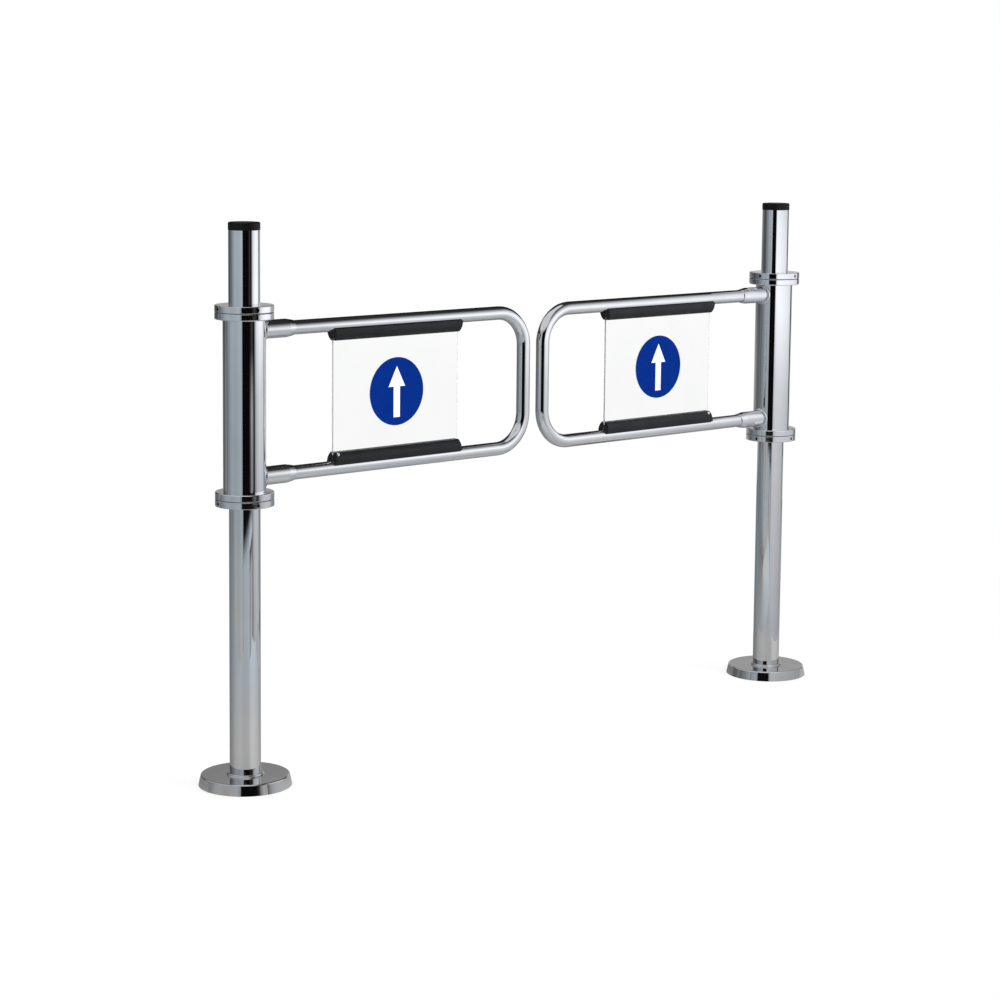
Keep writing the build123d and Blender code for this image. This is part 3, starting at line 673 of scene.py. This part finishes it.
# cards stand round the object for the chrome to mirror: where they stand in plan, how tall they are, their
# tint as (height, red, green, blue), and their brightness from bottom to top and from first end to last
cardSet = {
    "brightCard": {"plan": [(-0.28, -1.28), (0.48, -0.68), (1.23, -0.08)], "tall": (0.0, 2.4),
                   "tint": [(0.0, 0.985, 1.0, 1.035)],
                   "rise": [(0.0, 0.5), (0.35, 0.62), (0.6, 0.78), (0.8, 1.2), (1.0, 1.1), (1.2, 0.85),
                            (1.4, 0.55), (1.6, 0.35), (1.8, 0.2), (2.0, 0.1), (2.4, 0.02)],
                   "along": [(0.0, 0.25), (0.06, 0.45), (0.15, 0.8), (0.3, 0.97), (0.45, 1.05), (0.7, 1.0),
                             (0.88, 0.85), (1.0, 0.65)]},
    "shadeCard": {"plan": [(-1.6, -0.83), (-2.2, 1.0), (-2.75, 2.77)], "tall": (0.0, 1.7),
                  "tint": [(0.1, 1.0, 1.0, 0.99), (0.3, 0.88, 0.99, 1.07)],
                  "rise": [(0.0, 0.45), (0.5, 0.42), (1.0, 0.52), (1.7, 0.5)],
                  "along": [(0.0, 0.7), (0.05, 1.1), (0.12, 1.0), (0.2, 0.92), (0.3, 0.99), (0.42, 0.85),
                            (0.5, 0.66), (0.65, 0.58), (0.8, 0.42), (1.0, 0.33)]},
    "edgeCard": {"plan": [(-2.75, 2.80), (-1.7, 3.07)], "tall": (0.0, 1.5),
                 "tint": [(0.0, 0.9, 0.99, 1.1)],
                 "rise": [(0.0, 0.75), (0.4, 0.7), (0.6, 0.5), (1.0, 0.5), (1.5, 1.0)],
                 "along": [(0.0, 0.36), (0.5, 0.36), (1.0, 0.2)]},
    "backSheet": {"plan": [(-1.7, 3.07), (-1.2, 3.2), (0.6, 3.3), (2.6, 2.2), (3.2, 0.4)],
                  "tall": (0.0, 1.5), "tint": [(0.0, 1.01, 1.0, 0.99)],
                  "rise": [(0.0, 0.75), (0.4, 0.7), (0.6, 0.45), (1.0, 0.5), (1.5, 1.0)],
                  "along": [(0.0, 0.18), (0.15, 0.18), (0.26, 0.3), (0.36, 0.4), (0.54, 0.6), (0.7, 0.85),
                            (1.0, 0.95)]},
    "dimCard": {"plan": [(-1.3, -3.5), (0.1, -3.5)], "tall": (0.0, 1.8),
                "tint": [(0.0, 1.0, 0.98, 0.97)],
                "rise": [(0.0, 0.36), (0.1, 0.38), (0.28, 0.5), (0.38, 0.3), (0.47, 0.06), (0.8, 0.045),
                         (1.8, 0.03)],
                "along": [(0.0, 0.03), (0.25, 0.25), (0.6, 1.0), (0.68, 0.8), (0.8, 0.4), (1.0, 0.36)]},
    "lowCard": {"plan": [(-0.75, -1.1), (-0.28, -1.28)], "tall": (0.0, 0.26),
                "tint": [(0.0, 1.0, 0.99, 0.97)],
                "rise": [(0.0, 0.5), (0.2, 0.45), (0.26, 0.02)],
                "along": [(0.0, 0.3), (0.4, 1.0), (1.0, 1.0)]},
}
cardGrid = (41, 61)  # points along a card and up it


def makeCard(name, card):
    # a sheet over a plan line: the plan is followed by its length, and the height runs straight up; its glow
    # is the product of the brightness for the height, the brightness for the length and the tint
    plan = np.array(card["plan"], float)
    length = np.concatenate([[0], np.cumsum(np.linalg.norm(np.diff(plan, axis=0), axis=1))])
    share = np.linspace(0, 1, cardGrid[0])
    x, y = (np.interp(share * length[-1], length, plan[:, k])[:, None] for k in (0, 1))
    z = np.linspace(*card["tall"], cardGrid[1])
    points = np.stack(np.broadcast_arrays(x, y, z[None, :]), -1)
    rise = np.interp(z, *np.array(card["rise"]).T)[None, :]
    level = rise * np.interp(share, *np.array(card["along"]).T)[:, None]
    sheet = meshFromGrid(name, points, False, False)
    heights, *channels = np.array(card["tint"], float).T
    tint = np.stack([np.interp(z, heights, channel) for channel in channels], -1)
    shade = np.ones((*cardGrid, 4), np.float32)
    shade[..., :3] = level[..., None] * tint[None, :, :]
    sheet.data.attributes.new("glow", "FLOAT_COLOR", "POINT").data.foreach_set("color", shade.ravel())
    material = bpy.data.materials.new(name)
    material.use_nodes = True
    tree = material.node_tree
    tree.nodes.clear()
    glow = put(tree, "ShaderNodeAttribute", {"attribute_name": "glow"}).outputs["Color"]
    light = put(tree, "ShaderNodeEmission", None, {"Color": glow, "Strength": 1.0}).outputs[0]
    put(tree, "ShaderNodeOutputMaterial", None, {"Surface": light})
    material.cycles.emission_sampling = "NONE"
    sheet.data.materials.append(material)
    for ray in ("visible_camera", "visible_diffuse", "visible_transmission", "visible_shadow"):
        setattr(sheet, ray, False)


# the mirror stops are (bearing, brightness) of the painted light and shade that mirrors see on the floor,
# where
# the bearing is a share of a full turn: 0 and 1 towards +Y, 0.25 towards -X, 0.5 towards -Y and 0.75 towards
# +X
# nearTint and farTint give that painted light a warmer tint near the post and a bluer one away from it; dark
# is the painted shade it fades to at the rim
floorSet = {"radius": 4.2, "hub": 0.001, "below": 0.0005, "around": 96, "rings": 24,
            "nearTint": (1.01, 1.0, 0.98, 1), "farTint": (0.86, 0.98, 1.08, 1), "tintFade": (0.25, 1.5),
            "fade": (2.7, 3.3), "fadeSide": (0.4, -0.6), "dark": 0.004, "seen": 0.95, "white": 0.7,
            "whiteFade": (1.1, 2.2), "split": 0.25,
            "mirror": [(0.0, 0.2), (0.08, 0.25), (0.2, 0.38), (0.3, 0.42), (0.38, 0.38), (0.47, 0.4),
                       (0.52, 0.52), (0.6, 0.52), (0.68, 0.45), (0.8, 0.3), (1.0, 0.2)]}


def makeFloor(paper):
    # a disc of paper from rings of growing radius: white to the camera but for the shadow; to mirrors it
    # carries painted light and shade, whose brightness follows the bearing from the post of that half and
    # whose tint follows the distance from that post, and towards the rim of the entry side it is painted
    # darker until it fades out to the dark room
    turn = np.linspace(0, 2 * np.pi, paper["around"], endpoint=False)[:, None]
    ring = np.linspace(paper["hub"], paper["radius"], paper["rings"])[None, :]
    level = np.full((paper["around"], paper["rings"]), -paper["below"])
    points = np.stack([ring * np.cos(turn), ring * np.sin(turn), level], -1)
    floor = meshFromGrid("floor", points[::-1], True, False)
    material = bpy.data.materials.new("paperFloor")
    material.use_nodes = True
    tree = material.node_tree
    tree.nodes.clear()
    path = put(tree, "ShaderNodeLightPath").outputs
    place = put(tree, "ShaderNodeTexCoord").outputs["Object"]
    xyz = put(tree, "ShaderNodeSeparateXYZ", None, {0: place}).outputs
    radius = put(tree, "ShaderNodeVectorMath", {"operation": "LENGTH"}, {0: place}).outputs["Value"]
    rightHalf = calc(tree, "GREATER_THAN", xyz[0], paper["split"])
    sideways = calc(tree, "SUBTRACT", calc(tree, "MULTIPLY", rightHalf, 2.0), 1.0)
    fromPost = calc(tree, "SUBTRACT", xyz[0], calc(tree, "MULTIPLY", sideways, postX))
    angle = calc(tree, "DIVIDE", calc(tree, "ARCTAN2", xyz[1], fromPost), 2 * math.pi)
    bearing = calc(tree, "ADD", angle, 0.75)
    # painted light and shade on the floor for mirrors: a brightness by the bearing from the nearer post
    ramp = put(tree, "ShaderNodeValToRGB", None, {"Fac": calc(tree, "FRACT", bearing)})
    stops = ramp.color_ramp.elements
    stops[0].color = grey(paper["mirror"][0][1])
    stops[1].color = grey(paper["mirror"][-1][1])
    for share, brightness in paper["mirror"][1:-1]:
        stops.new(share).color = grey(brightness)
    away = calc(tree, "POWER", calc(tree, "ADD", calc(tree, "MULTIPLY", fromPost, fromPost),
                                    calc(tree, "MULTIPLY", xyz[1], xyz[1])), 0.5)
    # the painted light's tint, warmer near the post and bluer away from it
    tint = mixColour(tree, spread(tree, away, *paper["tintFade"]), paper["nearTint"], paper["farTint"])
    paintedFloorLight = mixColour(tree, 1.0, ramp.outputs[0], tint, "MULTIPLY")
    # painted shade: towards the rim of the entry side the floor that mirrors see darkens to the dark room
    paintedRimShade = calc(tree, "MULTIPLY", spread(tree, radius, *paper["fade"]),
                spread(tree, xyz[1], *paper["fadeSide"]))
    paintedFloorLight = mixColour(tree, paintedRimShade, paintedFloorLight, grey(paper["dark"]))
    colour = mixColour(tree, path["Is Glossy Ray"], grey(paper["seen"]), paintedFloorLight)
    sheet = put(tree, "ShaderNodeBsdfDiffuse", None, {"Color": colour}).outputs[0]
    white = put(tree, "ShaderNodeEmission", None, {"Color": grey(1.0), "Strength": 1.0}).outputs[0]
    seen = calc(tree, "MAXIMUM", path["Is Camera Ray"], path["Is Transmission Ray"])
    share = calc(tree, "MULTIPLY", seen, spread(tree, radius, *paper["whiteFade"], paper["white"], 1.0))
    lit = put(tree, "ShaderNodeMixShader", None, {0: share, 1: sheet, 2: white}).outputs[0]
    put(tree, "ShaderNodeOutputMaterial", None, {"Surface": lit})
    material.cycles.emission_sampling = "NONE"
    floor.data.materials.append(material)


lampSet = {
    "key": {"from": (1.8, -2.6, 3.2), "size": 2.4, "power": 62.0},
    "fill": {"from": (-2.6, -1.6, 2.6), "size": 2.6, "power": 34.0},
    "rear": {"from": (0.4, 2.9, 3.0), "size": 2.4, "power": 26.0},
}
lampAim = (0, 0, 0.5)


def makeLamp(name, lamp):
    # a square soft box aimed at the middle of the walk, unseen in mirrors
    light = bpy.data.objects.new(name, bpy.data.lights.new(name, "AREA"))
    light.data.size = lamp["size"]
    light.data.energy = lamp["power"]
    light.location = lamp["from"]
    light.rotation_euler = (Vector(lampAim) - Vector(lamp["from"])).to_track_quat("-Z", "Y").to_euler()
    light.visible_glossy = False
    bpy.context.scene.collection.objects.link(light)


makeWorld(roomSet)
for name, card in cardSet.items():
    makeCard(name, card)
makeFloor(floorSet)
for name, lamp in lampSet.items():
    makeLamp(name, lamp)
bpy.context.scene.view_settings.view_transform = "Standard"
print("studio: done")

bpy.context.view_layer.update()
